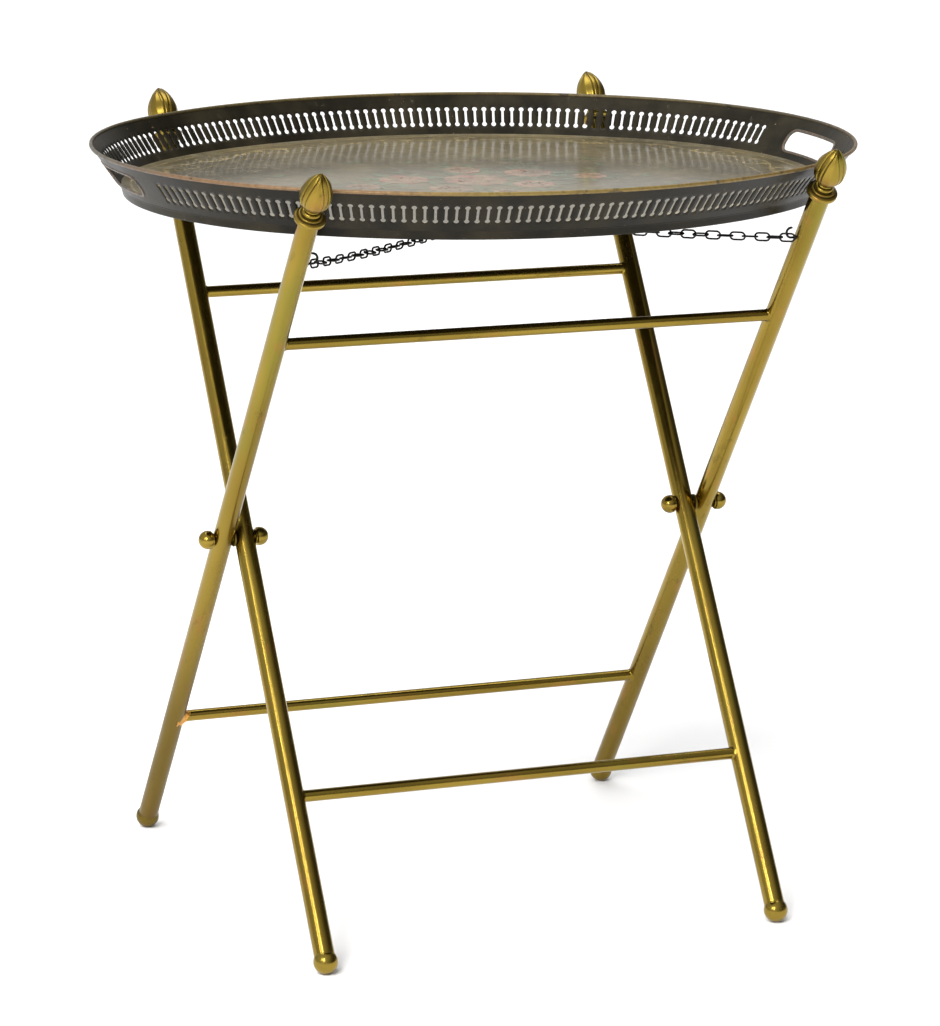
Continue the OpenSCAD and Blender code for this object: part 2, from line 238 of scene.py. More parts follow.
def sweep(points, radius, sides=14, closed=False, taper=None):
    """A round wire along a path."""
    pts = [Vector(p) for p in points]
    n = len(pts)
    tangents = []
    for i in range(n):
        before = pts[i - 1] if closed or i else pts[0]
        after = pts[(i + 1) % n] if closed or i < n - 1 else pts[-1]
        tangents.append((after - before).normalized())
    up = Vector((0, 0, 1)) if abs(tangents[0].z) < 0.9 else Vector((0, 1, 0))
    normal = tangents[0].cross(up).normalized()
    normals = [normal]
    for i in range(1, n):
        turn = tangents[i - 1].rotation_difference(tangents[i])
        normals.append(turn @ normals[-1])
    twist = 0.0
    if closed:
        back = tangents[-1].rotation_difference(tangents[0]) @ normals[-1]
        twist = math.atan2(back.cross(normals[0]).dot(tangents[0]), back.dot(normals[0]))
    verts, faces = [], []
    for i in range(n):
        t = tangents[i]
        a_dir = Matrix.Rotation(twist * i / n, 3, t) @ normals[i]
        b_dir = t.cross(a_dir)
        r = radius * (taper(i / (n - 1)) if taper else 1)
        for k in range(sides):
            a = TAU * k / sides
            verts.append(pts[i] + a_dir * (r * math.cos(a)) + b_dir * (r * math.sin(a)))
    for i in range(n if closed else n - 1):
        faces += ring_faces(sides, sides, i * sides, ((i + 1) % n) * sides)
    if not closed:
        verts.append(pts[0])
        verts.append(pts[-1])
        faces += ring_faces(1, sides, len(verts) - 2, 0)
        faces += ring_faces(sides, 1, (n - 1) * sides, len(verts) - 1)
    return np.array([tuple(v) for v in verts]), faces


def leg_matrix(name, side=0):
    """From a leg's own frame, Z up the leg from the pivot, to the row frame."""
    turn = Matrix.Rotation(LEAN if FRAMES[name] else -LEAN, 4, "X")
    return (
        Matrix.Translation((0, 0, PIVOT_Z))
        @ turn
        @ Matrix.Translation((side * HALF[name], 0, 0))
    )


def along_leg(name, node):
    """How far along its leg a node's middle is from the pivot."""
    mid = box_mid(node)
    return (mid.z - PIVOT_Z) / math.cos(LEAN)


def smooth(lo, hi, x):
    t = min(max((x - lo) / (hi - lo), 0), 1)
    return t * t * (3 - 2 * t)


# ---------------------------------------------------------------- finishes
def add(tree, kind, inputs=None, **settings):
    node = tree.nodes.new("ShaderNode" + kind)
    for key, value in settings.items():
        setattr(node, key, value)
    for key, value in (inputs or {}).items():
        socket = node.inputs[key]
        if isinstance(value, bpy.types.NodeSocket):
            tree.links.new(value, socket)
        else:
            socket.default_value = value
    return node


class Finish:
    """A procedural material: small helpers round one node tree."""

    def __init__(self, name):
        self.material = bpy.data.materials.new(name)
        self.material.use_nodes = True
        self.tree = self.material.node_tree
        self.tree.nodes.clear()
        self.shader = add(self.tree, "BsdfPrincipled")
        out = add(self.tree, "OutputMaterial")
        self.tree.links.new(self.shader.outputs["BSDF"], out.inputs["Surface"])
        grain = add(self.tree, "Attribute", attribute_name="grain")
        self.grain = grain.outputs["Vector"]
        # The attribute that darkens a finish: painted shade, with some grime in hollows.
        self.grime_and_shade = add(self.tree, "Attribute", attribute_name="grime_and_shade").outputs["Fac"]

    def set(self, **values):
        for key, value in values.items():
            socket = self.shader.inputs[key.replace("_", " ")]
            if isinstance(value, bpy.types.NodeSocket):
                self.tree.links.new(value, socket)
            else:
                socket.default_value = value

    def stretched(self, scale):
        return add(self.tree, "Mapping", {"Vector": self.grain, "Scale": scale}).outputs[0]

    def noise(self, scale, detail=4.0, stretch=None, rough=0.55):
        source = self.grain if stretch is None else self.stretched(stretch)
        node = add(
            self.tree,
            "TexNoise",
            {"Vector": source, "Scale": scale, "Detail": detail, "Roughness": rough},
        )
        return node.outputs["Fac"]

    def cells(self, scale, stretch=None):
        source = self.grain if stretch is None else self.stretched(stretch)
        node = add(self.tree, "TexVoronoi", {"Vector": source, "Scale": scale})
        return node.outputs["Distance"]

    def band(self, value, lo, hi, to_lo=0.0, to_hi=1.0, smooth_step=True):
        node = add(
            self.tree,
            "MapRange",
            {"Value": value, "From Min": lo, "From Max": hi, "To Min": to_lo, "To Max": to_hi},
            interpolation_type="SMOOTHSTEP" if smooth_step else "LINEAR",
        )
        return node.outputs["Result"]

    def math(self, operation, a, b=0.0):
        node = add(self.tree, "Math", {0: a, 1: b}, operation=operation)
        return node.outputs[0]

    def mix(self, share, a, b):
        node = self.tree.nodes.new("ShaderNodeMix")
        node.data_type = "RGBA"
        for key, value in ((0, share), (6, a), (7, b)):
            if isinstance(value, bpy.types.NodeSocket):
                self.tree.links.new(value, node.inputs[key])
            else:
                node.inputs[key].default_value = value
        return node.outputs[2]

    def bump(self, height, strength, distance, under=None):
        inputs = {"Height": height, "Strength": strength, "Distance": distance}
        if under is not None:
            inputs["Normal"] = under
        return add(self.tree, "Bump", inputs).outputs["Normal"]


def colour(r, g, b):
    return (r, g, b, 1.0)


def brass(name, worn, dull):
    """Old polished brass: gold with browner and greener patches, fine lengthwise marks, dark pits."""
    f = Finish(name)
    patches = f.noise(14.0, 3.0, (1, 1, 0.35))
    tone = f.mix(
        f.band(patches, 0.35, 0.68),
        colour(0.298, 0.209, 0.036),
        colour(0.228, 0.154, 0.026),
    )
    olive = f.noise(33.0, 2.0, (1, 1, 0.25))
    tone = f.mix(f.band(olive, 0.50, 0.72, 0, 0.7), tone, colour(0.220, 0.190, 0.033))
    copper = f.noise(47.0, 2.0, (1, 1, 0.5))
    tone = f.mix(f.band(copper, 0.56, 0.74, 0, 0.6), tone, colour(0.335, 0.172, 0.042))
    stain = f.noise(90.0, 6.0, (1, 1, 0.4), 0.65)
    stained = f.band(stain, 0.60 - 0.05 * worn, 0.78, 0, 0.35 + 0.4 * worn)
    tone = f.mix(stained, tone, colour(0.095, 0.064, 0.018))
    pit = f.cells(420.0)
    pitted = f.math("MULTIPLY", f.band(pit, 0.16, 0.06), f.band(stain, 0.5, 0.62))
    tone = f.mix(f.math("MULTIPLY", pitted, 0.8), tone, colour(0.05, 0.03, 0.012))
    # Painted shade, with some grime in hollows: the darkening attribute turns the brass dark brown and,
    # below, makes it rougher.
    tone = f.mix(f.math("MULTIPLY", f.grime_and_shade, 0.85), tone, colour(0.085, 0.055, 0.014))
    lines = f.noise(900.0, 2.0, (1, 1, 0.02))
    rough = f.band(f.noise(60.0, 5.0, (1, 1, 0.3)), 0.3, 0.75, 0.15 + dull, 0.29 + dull, False)
    rough = f.math("ADD", rough, f.math("MULTIPLY", stained, 0.3))
    rough = f.math("ADD", rough, f.math("MULTIPLY", f.grime_and_shade, 0.25))
    f.set(
        Base_Color=tone,
        Metallic=1.0,
        Roughness=rough,
        Normal=f.bump(
            f.noise(55.0, 3.0),
            0.25,
            0.0004,
            f.bump(lines, 0.06, 0.0002, f.bump(pitted, 0.5, -0.00025)),
        ),
    )
    return f.material


BRASS_TUBE = brass("aged_brass_tube", 0.45, 0.0)
BRASS_CAST = brass("aged_brass_cast", 0.75, 0.12)


def copper_braze():
    """Bright copper-coloured brazing where one joint was mended."""
    f = Finish("copper_brazing")
    fine = f.noise(320.0, 5.0)
    f.set(
        Base_Color=f.mix(f.band(fine, 0.35, 0.65), colour(0.80, 0.38, 0.07), colour(0.55, 0.28, 0.06)),
        Metallic=0.8,
        Roughness=f.band(fine, 0.3, 0.7, 0.4, 0.55, False),
        Normal=f.bump(fine, 0.6, 0.0004),
    )
    return f.material


COPPER_BRAZE = copper_braze()


def blackened():
    f = Finish("blackened_iron")
    rust = f.noise(260.0, 5.0)
    tone = f.mix(f.band(rust, 0.5, 0.75), colour(0.012, 0.011, 0.011), colour(0.055, 0.038, 0.026))
    f.set(
        Base_Color=tone,
        Metallic=0.75,
        Roughness=f.band(rust, 0.3, 0.7, 0.32, 0.6, False),
        Normal=f.bump(f.noise(900.0, 3.0), 0.4, 0.0002),
    )
    return f.material


BLACK_IRON = blackened()


def black_paint():
    """Black japanned tin: satin, browned, scuffed grey along the slots and handled edges."""
    f = Finish("black_japanned_tin")
    cloud = f.noise(18.0, 4.0)
    tone = f.mix(f.band(cloud, 0.35, 0.7), colour(0.0085, 0.0072, 0.0042), colour(0.023, 0.0185, 0.0100))
    scuff = f.noise(120.0, 8.0, (1, 0.35, 1), 0.7)
    worn = f.band(scuff, 0.60, 0.78, 0, 0.3)
    tone = f.mix(worn, tone, colour(0.11, 0.10, 0.08))
    chip = f.noise(520.0, 4.0)
    chipped = f.math("MULTIPLY", f.band(chip, 0.68, 0.73), f.band(scuff, 0.52, 0.62))
    tone = f.mix(chipped, tone, colour(0.42, 0.30, 0.14))
    rough = f.band(cloud, 0.3, 0.75, 0.30, 0.46, False)
    f.set(
        Base_Color=tone,
        Roughness=f.math("ADD", rough, f.math("MULTIPLY", worn, 0.25)),
        Specular_IOR_Level=0.13,
        Normal=f.bump(f.noise(38.0, 3.0), 0.35, 0.0006, f.bump(chipped, 0.6, -0.0001)),
    )
    return f.material


BLACK_TIN = black_paint()


def gilt():
    """Gilt paint on the rim: brassy at the front, copper at its left, olive behind, grey at the ends."""
    f = Finish("worn_gilt_rim")
    round_share = f.math("DIVIDE", add(f.tree, "SeparateXYZ", {0: f.grain}).outputs["X"], ROUND)
    wander = f.math("MULTIPLY", f.math("SUBTRACT", f.noise(5.0, 3.0, (1, 0.2, 0.2)), 0.5), 0.10)
    ramp = add(f.tree, "ValToRGB", {0: f.math("ADD", round_share, wander)})
    stops = [
        (0.00, (0.085, 0.072, 0.050)),
        (0.10, (0.100, 0.078, 0.036)),
        (0.25, (0.150, 0.112, 0.040)),
        (0.42, (0.100, 0.085, 0.046)),
        (0.50, (0.125, 0.115, 0.090)),
        (0.57, (0.200, 0.118, 0.062)),
        (0.64, (0.215, 0.128, 0.058)),
        (0.70, (0.230, 0.160, 0.042)),
        (0.88, (0.220, 0.145, 0.045)),
        (0.97, (0.110, 0.080, 0.045)),
    ]
    elements = ramp.color_ramp.elements
    while len(elements) < len(stops):
        elements.new(0.5)
    for element, (place, shade) in zip(elements, stops):
        element.position = place
        element.color = colour(*shade)
    fine = f.noise(150.0, 7.0, (1, 0.5, 0.5), 0.7)
    flakes = f.noise(62.0, 5.0, (1, 0.6, 0.6), 0.65)
    tone = f.mix(f.band(fine, 0.4, 0.7, 0, 0.5), ramp.outputs["Color"], colour(0.07, 0.048, 0.026))
    tone = f.mix(f.band(flakes, 0.56, 0.66, 0, 0.85), tone, colour(0.034, 0.028, 0.02))
    f.set(
        Base_Color=tone,
        Metallic=0.5,
        Roughness=f.band(fine, 0.3, 0.7, 0.36, 0.58, False),
        Normal=f.bump(fine, 0.35, 0.0003, f.bump(f.band(flakes, 0.56, 0.6), 0.5, -0.0002)),
    )
    return f.material


GILT = gilt()


def copper_worn():
    f = Finish("copper_worn_edge")
    fine = f.noise(170.0, 7.0, None, 0.7)
    tone = f.mix(f.band(fine, 0.42, 0.6), colour(0.050, 0.043, 0.034), colour(0.15, 0.105, 0.07))
    tone = f.mix(f.band(fine, 0.60, 0.7), tone, colour(0.30, 0.23, 0.14))
    f.set(
        Base_Color=tone,
        Metallic=f.band(fine, 0.42, 0.6, 0.1, 0.6),
        Roughness=f.band(fine, 0.3, 0.7, 0.5, 0.36, False),
        Normal=f.bump(fine, 0.35, 0.0003),
    )
    return f.material


COPPER_EDGE = copper_worn()


def varnished(name, paint=None, cover=1.0):
    """Old varnished paint: olive brown ground, with a rubbed decoration over it if a paint is given."""
    f = Finish(name)
    cloud = f.noise(7.0, 5.0)
    ground = f.mix(f.band(cloud, 0.32, 0.7), colour(0.060, 0.048, 0.022), colour(0.140, 0.110, 0.053))
    haze = f.noise(26.0, 6.0, (1, 1.6, 1), 0.65)
    ground = f.mix(f.band(haze, 0.5, 0.72, 0, 0.6), ground, colour(0.135, 0.122, 0.082))
    mottle = f.noise(74.0, 4.0, (1, 1.3, 1), 0.6)
    ground = f.mix(f.band(mottle, 0.52, 0.72, 0, 0.5), ground, colour(0.20, 0.165, 0.10))
    ground = f.mix(f.band(mottle, 0.48, 0.30, 0, 0.55), ground, colour(0.055, 0.047, 0.028))
    craze = f.noise(310.0, 6.0, None, 0.7)
    if paint is not None:
        keep = f.math("MULTIPLY", f.band(craze, 0.62, 0.5), f.band(haze, 0.62, 0.42, 0.25, cover))
        keep = f.math("MULTIPLY", keep, f.band(mottle, 0.60, 0.46, 0.35, 1.0))
        ground = f.mix(keep, ground, colour(*paint))
    scratch = f.noise(700.0, 2.0, (1, 0.03, 1))
    scratched = f.band(scratch, 0.64, 0.74, 0, 0.35)
    ground = f.mix(scratched, ground, colour(0.27, 0.25, 0.20))
    f.set(
        Base_Color=ground,
        Roughness=f.band(haze, 0.3, 0.75, 0.26, 0.44, False),
        Specular_IOR_Level=0.25,
        Coat_Weight=0.52,
        Coat_Roughness=0.12,
        Coat_IOR=1.52,
        Normal=f.bump(f.noise(20.0, 3.0), 0.12, 0.0012, f.bump(craze, 0.08, 0.0001)),
    )
    return f.material


FLOOR_PAINT = varnished("varnished_floor")
GOLD_PAINT = varnished("faded_gold_scroll", (0.40, 0.31, 0.14), 0.85)
ROSE_PAINT = varnished("faded_rose", (0.36, 0.13, 0.085), 0.7)
BLUSH_PAINT = varnished("faded_blush", (0.36, 0.215, 0.135), 0.65)
LEAF_PAINT = varnished("faded_leaf", (0.10, 0.165, 0.085), 0.65)


# ---------------------------------------------------------------- stand: tubes, rails, feet
BRAZE_SIZE = 1.7 * MM
MEND_SIZE = 4.6 * MM


def tube(name, side):
    """A leg tube with softly turned-in ends."""
    lip = TUBE_R - 1.6 * MM
    profile = softened(
        [(lip, TUBE_LOW), (TUBE_R, TUBE_LOW), (TUBE_R, TUBE_TOP), (lip, TUBE_TOP)],
        0.5 * MM,
    )
    rows = [profile[0]]
    for a, b in zip(profile, profile[1:]):
        steps = max(1, int(np.linalg.norm(np.array(b) - np.array(a)) / (12 * MM)))
        for i in range(1, steps + 1):
            rows.append(np.array(a) + (np.array(b) - np.array(a)) * i / steps)

    def dents(a, z):
        p = Vector((math.cos(a) * 0.4, math.sin(a) * 0.4, z * 9 + side * 7 + HALF[name] * 40))
        return 0.00006 * (noise.noise(p) - 0.5)

    verts, faces = lathe(rows, 72, dents)
    seed = side * 1.3 + (2.1 if FRAMES[name] else 4.7)
    node = f"leg_{name}_{SIDE_NAMES[side]}"
    # Painted shade: the leg is darkened towards its foot, standing in for its reflection of the shaded
    # floor.
    dull = [lower_leg_shade(name, side, z) for z in verts[:, 2]]
    m = leg_matrix(name, side)
    piece("tube_" + node, (verts, faces), BRASS_TUBE, name + "_frame", node, m, seed, grime_and_shade=dull)


def lower_leg_shade(name, side, z):
    """Painted shade: the outer legs are darkened and browned below the pivot, the left one most, standing
    in for their reflection of the shaded floor under the table.
    """
    amount = 0.06 if not FRAMES[name] else 0.80 if side == LEFT else 0.40
    return amount * smooth(0.06, -0.34, z)


def rail(name, which):
    """A rail tube with a small brazed fillet where it meets each leg."""
    node = f"rail_{name}_{which}"
    size, at = box_size(node), along_leg(name, node)
    r = size.z / 2
    half = HALF[name] - TUBE_R + 3 * MM
    steps = 40
    rows = [(0.0, -half), *((r, -half + 2 * half * i / steps) for i in range(steps + 1)), (0.0, half)]
    parts = [moved(lathe(rows, 48), Matrix.Rotation(math.pi / 2, 4, "Y"))]
    m = leg_matrix(name) @ Matrix.Translation((0, 0, at))
    for side in (LEFT, RIGHT):
        if node == "rail_outer_lower" and side == LEFT:
            mend = braze(r, side, HALF[name], MEND_SIZE)
            piece("braze_mended", mend, COPPER_BRAZE, name + "_frame", None, m, 2.0)
        else:
            parts.append(braze(r, side, HALF[name]))
    verts, faces = joined(parts)
    grain = verts[:, [2, 1, 0]]
    seed = 9.1 + at * 11 + (0.6 if FRAMES[name] else 0)
    piece("tube_" + node, (verts, faces), BRASS_TUBE, name + "_frame", node, m, seed, grain, 60)


def braze(r, side, half, size=BRAZE_SIZE):
    """A concave ring of brazing round a rail's end, following the leg's round face."""
    rings, around = 7, 48
    verts, faces = [], []
    for k in range(rings):
        a = math.pi / 2 * k / (rings - 1)
        rho = r + size * (1 - math.sin(a)) + 0.02 * MM
        out = size * (1 - math.cos(a)) - 0.1 * MM
        for i in range(around):
            p = TAU * i / around
            y, z = rho * math.cos(p), rho * math.sin(p)
            face = math.sqrt(max(TUBE_R**2 - y * y, 0))
            lump = 1 + 0.25 * math.sin(3 * p + half * 90 + side)
            verts.append((side * (half - face - out * lump), y, z))
    for k in range(rings - 1):
        faces += ring_faces(around, around, k * around, (k + 1) * around)
    part = (np.array(verts), faces)
    return flipped(part) if side > 0 else part


def foot(name, side):
    """A brass ball with a thin turned bead where it meets the tube."""
    start = math.asin(min(1, (TUBE_R - 0.4 * MM) / BALL_R))
    profile = []
    steps = 40
    for i in range(steps + 1):
        a = math.pi - (math.pi - start) * i / steps
        profile.append((max(BALL_R * math.sin(a), 0), BALL_R * math.cos(a)))
    seat = TUBE_LOW + FOOT_REACH
    profile += [
        (TUBE_R - 0.5 * MM, seat - 0.9 * MM),
        (TUBE_R + 0.15 * MM, seat - 0.5 * MM),
        (TUBE_R + 0.3 * MM, seat + 0.1 * MM),
        (TUBE_R + 0.1 * MM, seat + 0.7 * MM),
        (TUBE_R - 0.2 * MM, seat + 0.9 * MM),
    ]
    profile[0] = (0.0, profile[0][1])
    m = leg_matrix(name, side) @ Matrix.Translation((0, 0, -FOOT_REACH))
    node = f"foot_{name}_{SIDE_NAMES[side]}"
    verts, faces = lathe(profile, 72)
    # Painted shade: the ball is darkened as much as the foot of its leg.
    dull = [lower_leg_shade(name, side, -FOOT_REACH)] * len(verts)
    seed = side * 2.2 + FOOT_REACH
    piece("ball_" + node, (verts, faces), BRASS_TUBE, name + "_frame", node, m, seed, grime_and_shade=dull)


def collar(name, side):
    """A stepped disc under the finial: a rounded edge, a narrower step and a bead round the neck."""
    R = COLLAR_R
    profile = softened(
        [
            (TUBE_R - 2 * MM, 0.05 * MM),
            (R * 0.82, 0.05 * MM),
            (R * 0.985, 1.5 * MM),
            (R * 0.985, 4.6 * MM),
            (R * 0.82, 5.9 * MM),
            (R * 0.80, 5.3 * MM),
            (R * 0.76, 5.3 * MM),
            (R * 0.76, 7.4 * MM),
            (R * 0.68, 8.1 * MM),
            (R * 0.58, 7.6 * MM),
        ],
        0.9 * MM,
    )
    bead = 2.15 * MM
    for i in range(15):
        a = -math.pi / 3 + math.pi * 0.95 * i / 14
        profile.append((R * 0.44 + bead * math.cos(a), 9.9 * MM + bead * math.sin(a)))
    profile += [(R * 0.30, 11.7 * MM), (R * 0.27, 12.4 * MM), (3.2 * MM, 12.45 * MM)]
    around = 96
    # Painted shade with some grime: the collar is darkened in the hollows below its rings' line.
    grime_and_shade = np.repeat([smooth(0.4 * MM, -0.5 * MM, z - ring_line(r)) for r, z in profile], around)
    m = leg_matrix(name, side) @ Matrix.Translation((0, 0, TUBE_TOP))
    node = f"collar_{name}_{SIDE_NAMES[side]}"
    seed = side * 3.1 + HALF[name] * 30
    piece("ring_" + node, lathe(profile, around), BRASS_CAST, name + "_frame", node, m, seed, grime_and_shade=grime_and_shade)


def ring_line(r):
    """Height of the collar's rings at a radius: hollows lie below it."""
    share = (COLLAR_R - r) / (0.7 * COLLAR_R)
    return (4.9 + 6.5 * min(max(share, 0), 1)) * MM if r < COLLAR_R * 0.84 else -1.0


LEAVES = 4
LEAF_STEP = 1.5 * MM
LEAF_DISH = 0.4 * MM
FOOT_SHARE = 0.06


def bud_radius(t):
    if t <= 0 or t >= 1:
        return 0.0
    return FINIAL_R * math.sin(math.pi * t**0.74) ** 0.62


def bud_height(base):
    """The tallest bud whose tip and shoulder both stay under the top of its box."""
    tallest = FINIAL_TIP - base - NECK_H
    for k in range(30, 61):
        share = k / 60
        shoulder = bud_radius(FOOT_SHARE + (1 - FOOT_SHARE) * share) * math.tan(LEAN)
        tallest = min(tallest, (FINIAL_TIP - base - shoulder - NECK_H) / share)
    return tallest - 0.3 * MM


def leaf_edge(t, reach, wide):
    """Half the width of a leaf, in radians, at share t of the bud's height."""
    if t >= reach:
        return 0.0
    u = t / reach
    return wide * (1 - u**5) ** 0.75


def finial(name, side):
    """A closed bud on a short neck: four broad pointed leaves over four that close at the tip."""
    base = TUBE_TOP + COLLAR_H
    height = bud_height(base)
    around, rows = 288, 132
    turn = 0.38 + (0 if FRAMES[name] else 0.35)
    verts, faces, grime_and_shade = [], [], []
    neck = [(4.0, 0.0), (6.4, 0.0), (6.9, 0.5), (6.9, 1.2), (6.1, 1.8), (5.4, 2.3), (5.3, 2.9)]
    for r, z in neck:
        for i in range(around):
            a = TAU * i / around
            verts.append((r * MM * math.cos(a), r * MM * math.sin(a), z * MM))
            # Painted shade: the top of the neck, just under the bud, is darkened.
            grime_and_shade.append(smooth(1.5, 2.6, z))
    for k in range(rows):
        t = FOOT_SHARE + (1 - FOOT_SHARE) * k / (rows - 1)
        z = NECK_H + height * (t - FOOT_SHARE) / (1 - FOOT_SHARE)
        r0 = bud_radius(t)
        for i in range(around):
            a = TAU * i / around
            cut = relief(a + turn, t)
            r = max(r0 - cut * min(1.0, r0 / (4 * MM)), 0.0) if k < rows - 1 else 0.0
            verts.append((r * math.cos(a), r * math.sin(a), z))
            # Painted shade with some grime: darker in the grooves between the leaves and at the bud's foot
            # above the neck.
            grime_and_shade.append(max(smooth(0.6, 1.0, cut / LEAF_STEP), 0.8 - smooth(FOOT_SHARE, 0.13, t)))
    for k in range(len(neck) + rows - 1):
        faces += ring_faces(around, around, k * around, (k + 1) * around)
    m = leg_matrix(name, side) @ Matrix.Translation((0, 0, base))
    node = f"finial_{name}_{SIDE_NAMES[side]}"
    seed = side * 1.9 + HALF[name] * 17
    piece("bud_" + node, (verts, faces), BRASS_CAST, name + "_frame", node, m, seed, None, 55, grime_and_shade)


def relief(a, t):
    """How far the bud's surface is cut back, in metres: leaf edges stand proud of the leaves behind."""
    outer = leaf_side(a, t, 0.97, 0.56, 0.0)
    inner = leaf_side(a, t, 1.03, 0.56, math.pi / LEAVES)
    if outer > 0:
        rounded = 0.3 * LEAF_STEP * smooth(0.10, 0.0, outer)
        return rounded + LEAF_DISH * smooth(0.05, 0.2, outer) * smooth(0.0, 0.25, leaf_centre(a))
    behind = 0.55 * LEAF_STEP * smooth(0.03, 0.15, -outer) if inner > 0 else 0.0
    return LEAF_STEP * smooth(0.0, 0.03, -outer) + 0.3 * LEAF_STEP * smooth(0.03, 0.0, -outer) - behind


def leaf_centre(a):
    """Angle to the nearest broad leaf's middle line."""
    step = TAU / LEAVES
    return abs((a + step / 2) % step - step / 2)


def leaf_side(a, t, reach, wide, offset):
    """Positive inside a leaf, negative outside, in radians from its edge."""
    step = TAU / LEAVES
    away = abs((a - offset + step / 2) % step - step / 2)
    return leaf_edge(t, reach, wide) - away


# ---------------------------------------------------------------- pivots
def cap_nut(side, outside):
    """A turned ball knob with a small flange against the leg."""
    which = "outside" if outside else "inside"
    node = f"cap_nut_{SIDE_NAMES[side]}_{which}"
    size, mid = box_size(node), box_mid(node)
    R = size.z / 2
    away = side if outside else -side
    lo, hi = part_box(node)
    seat = lo.x if away > 0 else hi.x
    tip = hi.x if away > 0 else lo.x
    length = abs(tip - seat)
    centre = length - R
    begin = math.acos(max(-1, min(1, (1.9 * MM - centre) / R)))
    flange = [(3.2, 0.0), (6.2, 0.0), (6.7, 0.35), (6.7, 1.1), (6.2, 1.6)]
    profile = [(r * MM, z * MM) for r, z in flange]
    steps = 40
    for i in range(steps + 1):
        a = begin * (1 - i / steps)
        profile.append((max(R * math.sin(a), 0.0), centre + R * math.cos(a)))
    profile[-1] = (0.0, length)
    m = Matrix.Translation((seat, 0, mid.z)) @ Matrix.Rotation(away * math.pi / 2, 4, "Y")
    piece("knob_" + node, lathe(profile, 72), BRASS_TUBE, "outer_frame", node, m, mid.x * 9)


def washer(side):
    node = f"pivot_washer_{SIDE_NAMES[side]}"
    size, mid = box_size(node), box_mid(node)
    r, half = size.z / 2, size.x / 2
    profile = softened([(3.2 * MM, -half), (r, -half), (r, half), (3.2 * MM, half)], 0.35 * MM, 4)
    m = Matrix.Translation(mid) @ Matrix.Rotation(math.pi / 2, 4, "Y")
    verts, faces = lathe(profile, 64)
    # Painted shade: the washer, held between the legs, is darkened all over.
    grime_and_shade = [0.6] * len(verts)
    piece("disc_" + node, (verts, faces), BRASS_CAST, "outer_frame", node, m, side, grime_and_shade=grime_and_shade)


# ---------------------------------------------------------------- hooks and chains
HOOK_BELOW = 53 * MM
HOOK_AT = TUBE_TOP - HOOK_BELOW
HOOK_WIRE = box_size("hook_outer_left").y / 2
HOOK_REACH = 9 * MM
HOOK_BEND = 3.4 * MM + HOOK_WIRE
LINKS = 51
LINK_WIRE = 0.9 * MM
LINK_W = 8.8 * MM
LINK_BEHIND = 2.45 * MM
LINK_SLACK = 0.5 * MM
SAG = {LEFT: 12 * MM, RIGHT: 8 * MM}


def hook_root(name, side):
    lean = LEAN if FRAMES[name] else -LEAN
    x = side * (HALF[name] - TUBE_R)
    return Vector((x, -HOOK_AT * math.sin(lean), PIVOT_Z + HOOK_AT * math.cos(lean)))


def hook(name, side):
    """A screw hook: shank, flange and an open bend with a blunt tip."""
    inward = -side
    path = [(inward * x * MM, 0, 0) for x in np.linspace(-3, 1000 * (HOOK_REACH - HOOK_BEND), 8)]
    centre = (HOOK_REACH - HOOK_BEND, HOOK_BEND)
    for i in range(1, 30):
        a = math.radians(-90 + 196 * i / 29)
        x, z = centre[0] + HOOK_BEND * math.cos(a), centre[1] + HOOK_BEND * math.sin(a)
        path.append((inward * x, 0, z))

    def blunt(t):
        return 1.0 if t < 0.9 else 1.0 - 0.35 * ((t - 0.9) / 0.1) ** 2

    wire = sweep(path, HOOK_WIRE * 0.995, 16, False, blunt)
    profile = [(0.0, -1.0), (2.1, -1.0), (2.3, -0.1), (2.0, 0.5), (0.0, 0.7)]
    flange = lathe([(r * MM, z * MM) for r, z in profile], 32)
    flange = moved(flange, Matrix.Rotation(inward * math.pi / 2, 4, "Y"))
    node = f"hook_{name}_{SIDE_NAMES[side]}"
    m = Matrix.Translation(hook_root(name, side))
    piece("wire_" + node, joined([wire, flange]), BLACK_IRON, name + "_frame", node, m, side * 2.7)


def link(length, lean_over):
    """One oval link with a faint weld lump on one side."""
    bend = LINK_W / 2 - LINK_WIRE
    straight = (length - LINK_W) / 2
    path = []
    for end in (1, -1):
        for i in range(13):
            a = math.pi * i / 12 - math.pi / 2
            path.append((end * (straight + bend * math.cos(a)), end * bend * math.sin(a), 0))
    verts, faces = sweep(path, LINK_WIRE, 12, True)
    turn = Matrix.Rotation(lean_over, 4, "X")
    return moved((verts, faces), turn)


def chain(side):
    """Links from the outer frame's hook on this side to the inner frame's on the other."""
    ends = []
    for name, s in (("outer", side), ("inner", -side)):
        root = hook_root(name, s)
        ends.append(root + Vector((-s * (HOOK_REACH - HOOK_BEND), 0, 0)))
    start, finish = ends
    along = (finish - start).normalized()
    a, b = start - along * LINK_BEHIND, finish + along * LINK_BEHIND
    pitch = (b - a).length / LINKS
    length = pitch + LINK_SLACK + 4 * LINK_WIRE

    def on_chain(t):
        return a + (b - a) * t - Vector((0, 0, 4 * SAG[side] * t * (1 - t)))

    parts = []
    for i in range(LINKS):
        p, q = on_chain(i / LINKS), on_chain((i + 1) / LINKS)
        run = q - p
        aim = Matrix.Rotation(math.atan2(run.y, run.x), 4, "Z") @ Matrix.Rotation(
            -math.atan2(run.z, math.hypot(run.x, run.y)), 4, "Y"
        )
        loose = 0.16 * math.sin(i * 2.4 + side)
        over = (math.pi / 2 if i % 2 == 0 else 0.0) + loose
        parts.append(moved(link(length, over), Matrix.Translation((p + q) / 2) @ aim))
    node = f"chain_front_{SIDE_NAMES[side]}"
    obj = piece("links_" + node, joined(parts), BLACK_IRON, None, node, None, side, None, 60)
    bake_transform(obj)


